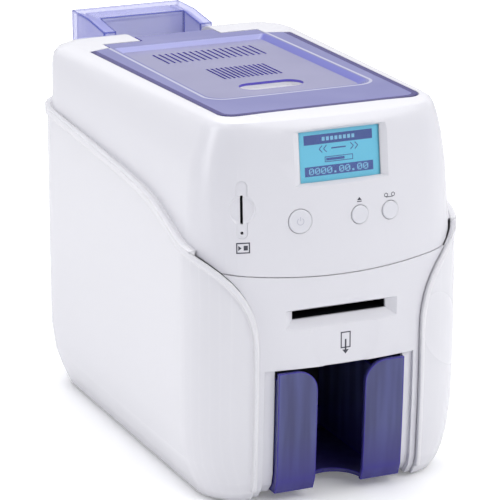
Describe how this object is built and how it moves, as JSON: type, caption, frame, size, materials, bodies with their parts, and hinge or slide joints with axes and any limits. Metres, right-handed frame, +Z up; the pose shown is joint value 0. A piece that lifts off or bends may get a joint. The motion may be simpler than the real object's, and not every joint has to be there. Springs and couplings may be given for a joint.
{
  "type": "id card printer",
  "caption": "Desktop card printer: white casing, hinged see-through lid, front card slot, pull-out card tray, rear card hopper, display and keys.",
  "frame": {"origin": "floor under the centre of the footprint, card hopper included", "axes": "+X to the printer's left side seen from behind, the right seen from the front; -Y out of the front; +Z up"},
  "size_m": [0.179, 0.3378, 0.2321],
  "materials": {
    "white_plastic": "satin moulded",
    "lid_plastic": "gloss, see-through violet",
    "hopper_plastic": "gloss, see-through violet",
    "tray_plastic": "gloss, see-through violet",
    "display_glass": "clear",
    "display_face": "satin",
    "key_plastic": "satin",
    "circuit_board": "satin",
    "black_plastic": "satin",
    "sheet_steel": "brushed",
    "bright_steel": "polished",
    "roller_rubber": "matte",
    "grey_plastic": "satin",
    "gear_nylon": "satin",
    "pinion_brass": "machined",
    "motor_metal": "satin",
    "ribbon_foil": "gloss"
  },
  "bodies": {
    "casing": {"base_tray": "white_plastic", "left_side_panel": "white_plastic", "right_side_panel": "white_plastic", "upper_housing": "white_plastic", "front_cover": "white_plastic", "rear_panel": "white_plastic", "lid_hinge_pins": "bright_steel", "input_hopper": "hopper_plastic", "lcd_window": "display_glass", "lcd_module": "display_face", "switch_board": "circuit_board", "chip_reader": "black_plastic", "card_slot_guide": "black_plastic", "exit_chute": "black_plastic", "left_frame": "sheet_steel", "right_frame": "sheet_steel", "tie_bars": "sheet_steel", "idler_pins": "bright_steel", "drive_motor": "motor_metal", "ribbon_cassette": "grey_plastic", "ribbon_film": "ribbon_foil", "ribbon_motor": "motor_metal", "head_pivot_shaft": "bright_steel", "main_board": "circuit_board", "power_inlet": "black_plastic", "usb_port": "sheet_steel", "rubber_feet": "roller_rubber", "case_screws": "bright_steel"},
    "lid": {"top_lid": "lid_plastic"},
    "head": {"head_carriage": "white_plastic", "print_head": "motor_metal"},
    "tray": {"output_tray": "tray_plastic"},
    "power_key": {"power_button": "key_plastic"},
    "eject_key": {"eject_button": "key_plastic"},
    "ribbon_key": {"ribbon_button": "key_plastic"},
    "platen": {"platen_roller": "roller_rubber", "platen_gear": "gear_nylon"},
    "front_feed": {"front_feed_roller": "roller_rubber", "front_feed_gear": "gear_nylon"},
    "rear_feed": {"rear_feed_roller": "roller_rubber", "rear_feed_gear": "gear_nylon"},
    "entry": {"entry_roller": "roller_rubber", "entry_gear": "gear_nylon"},
    "pick": {"pick_roller": "roller_rubber", "pick_gear": "gear_nylon"},
    "front_idler": {"front_idler_gear": "gear_nylon"},
    "middle_idler": {"middle_idler_gear": "gear_nylon"},
    "rear_idler": {"rear_idler_gear": "gear_nylon"},
    "last_idler": {"last_idler_gear": "gear_nylon"},
    "pinion": {"motor_pinion": "pinion_brass"},
    "front_pinch": {"front_pinch_roller": "grey_plastic"},
    "rear_pinch": {"rear_pinch_roller": "grey_plastic"},
    "cleaning": {"cleaning_roller": "grey_plastic"},
    "take_up": {"take_up_spool": "black_plastic", "take_up_roll": "ribbon_foil", "take_up_gear": "gear_nylon"},
    "supply": {"supply_spool": "black_plastic", "supply_roll": "ribbon_foil"},
    "ribbon_drive": {"ribbon_pinion": "pinion_brass"}
  },
  "joints": [
    {"name": "lid_hinge", "type": "hinge", "parent": "casing", "child": "lid", "pos_m": [0, 0.06537, 0.22347], "axis": [-1, 0, 0], "range_deg": [0, 75]},
    {"name": "head_lift", "type": "hinge", "parent": "casing", "child": "head", "pos_m": [0, 0.037, 0.177], "axis": [-1, 0, 0], "range_deg": [0, 5]},
    {"name": "tray_slide", "type": "slide", "parent": "casing", "child": "tray", "axis": [0, -1, 0], "range_m": [0, 0.065]},
    {"name": "power_key_press", "type": "slide", "parent": "casing", "child": "power_key", "axis": [0.0897, 0.9922, -0.0865], "range_m": [0, 0.0012], "stiffness_N_per_m": 300},
    {"name": "eject_key_press", "type": "slide", "parent": "casing", "child": "eject_key", "axis": [-0.0392, 0.9955, -0.0865], "range_m": [0, 0.0012], "stiffness_N_per_m": 300},
    {"name": "ribbon_key_press", "type": "slide", "parent": "casing", "child": "ribbon_key", "axis": [-0.1086, 0.9903, -0.0865], "range_m": [0, 0.0012], "stiffness_N_per_m": 300},
    {"name": "platen_spin", "type": "hinge", "parent": "casing", "child": "platen", "pos_m": [0, -0.059, 0.1066], "axis": [1, 0, 0], "continuous": true},
    {"name": "front_feed_spin", "type": "hinge", "parent": "casing", "child": "front_feed", "pos_m": [0, -0.109, 0.1066], "axis": [1, 0, 0], "continuous": true},
    {"name": "rear_feed_spin", "type": "hinge", "parent": "casing", "child": "rear_feed", "pos_m": [0, -0.009, 0.1066], "axis": [1, 0, 0], "continuous": true},
    {"name": "entry_spin", "type": "hinge", "parent": "casing", "child": "entry", "pos_m": [0, 0.041, 0.1066], "axis": [1, 0, 0], "continuous": true},
    {"name": "pick_spin", "type": "hinge", "parent": "casing", "child": "pick", "pos_m": [0, 0.091, 0.1066], "axis": [1, 0, 0], "continuous": true},
    {"name": "front_idler_spin", "type": "hinge", "parent": "casing", "child": "front_idler", "pos_m": [0, -0.084, 0.1066], "axis": [1, 0, 0], "continuous": true},
    {"name": "middle_idler_spin", "type": "hinge", "parent": "casing", "child": "middle_idler", "pos_m": [0, -0.034, 0.1066], "axis": [1, 0, 0], "continuous": true},
    {"name": "rear_idler_spin", "type": "hinge", "parent": "casing", "child": "rear_idler", "pos_m": [0, 0.016, 0.1066], "axis": [1, 0, 0], "continuous": true},
    {"name": "last_idler_spin", "type": "hinge", "parent": "casing", "child": "last_idler", "pos_m": [0, 0.066, 0.1066], "axis": [1, 0, 0], "continuous": true},
    {"name": "motor_pinion_spin", "type": "hinge", "parent": "casing", "child": "pinion", "pos_m": [0, -0.034, 0.0876], "axis": [1, 0, 0], "continuous": true},
    {"name": "front_pinch_spin", "type": "hinge", "parent": "casing", "child": "front_pinch", "pos_m": [0, -0.109, 0.1204], "axis": [1, 0, 0], "continuous": true},
    {"name": "rear_pinch_spin", "type": "hinge", "parent": "casing", "child": "rear_pinch", "pos_m": [0, -0.009, 0.1204], "axis": [1, 0, 0], "continuous": true},
    {"name": "cleaning_spin", "type": "hinge", "parent": "casing", "child": "cleaning", "pos_m": [0, 0.041, 0.1224], "axis": [1, 0, 0], "continuous": true},
    {"name": "take_up_spin", "type": "hinge", "parent": "casing", "child": "take_up", "pos_m": [0, -0.101, 0.167], "axis": [1, 0, 0], "continuous": true},
    {"name": "supply_spin", "type": "hinge", "parent": "casing", "child": "supply", "pos_m": [0, -0.014, 0.167], "axis": [1, 0, 0], "continuous": true},
    {"name": "ribbon_pinion_spin", "type": "hinge", "parent": "casing", "child": "ribbon_drive", "pos_m": [0, -0.101, 0.146], "axis": [1, 0, 0], "continuous": true}
  ],
  "couplings": [
    {"joint": "front_feed_spin", "follows": "platen_spin", "ratio": 1},
    {"joint": "rear_feed_spin", "follows": "platen_spin", "ratio": 1},
    {"joint": "entry_spin", "follows": "platen_spin", "ratio": 1},
    {"joint": "pick_spin", "follows": "platen_spin", "ratio": 1},
    {"joint": "front_idler_spin", "follows": "platen_spin", "ratio": -0.92308},
    {"joint": "middle_idler_spin", "follows": "platen_spin", "ratio": -0.92308},
    {"joint": "rear_idler_spin", "follows": "platen_spin", "ratio": -0.92308},
    {"joint": "last_idler_spin", "follows": "platen_spin", "ratio": -0.92308},
    {"joint": "motor_pinion_spin", "follows": "platen_spin", "ratio": 2},
    {"joint": "front_pinch_spin", "follows": "platen_spin", "ratio": -1.6},
    {"joint": "rear_pinch_spin", "follows": "platen_spin", "ratio": -1.6},
    {"joint": "cleaning_spin", "follows": "platen_spin", "ratio": -1.1429},
    {"joint": "supply_spin", "follows": "take_up_spin", "ratio": 0.78571},
    {"joint": "ribbon_pinion_spin", "follows": "take_up_spin", "ratio": -2.5}
  ]
}
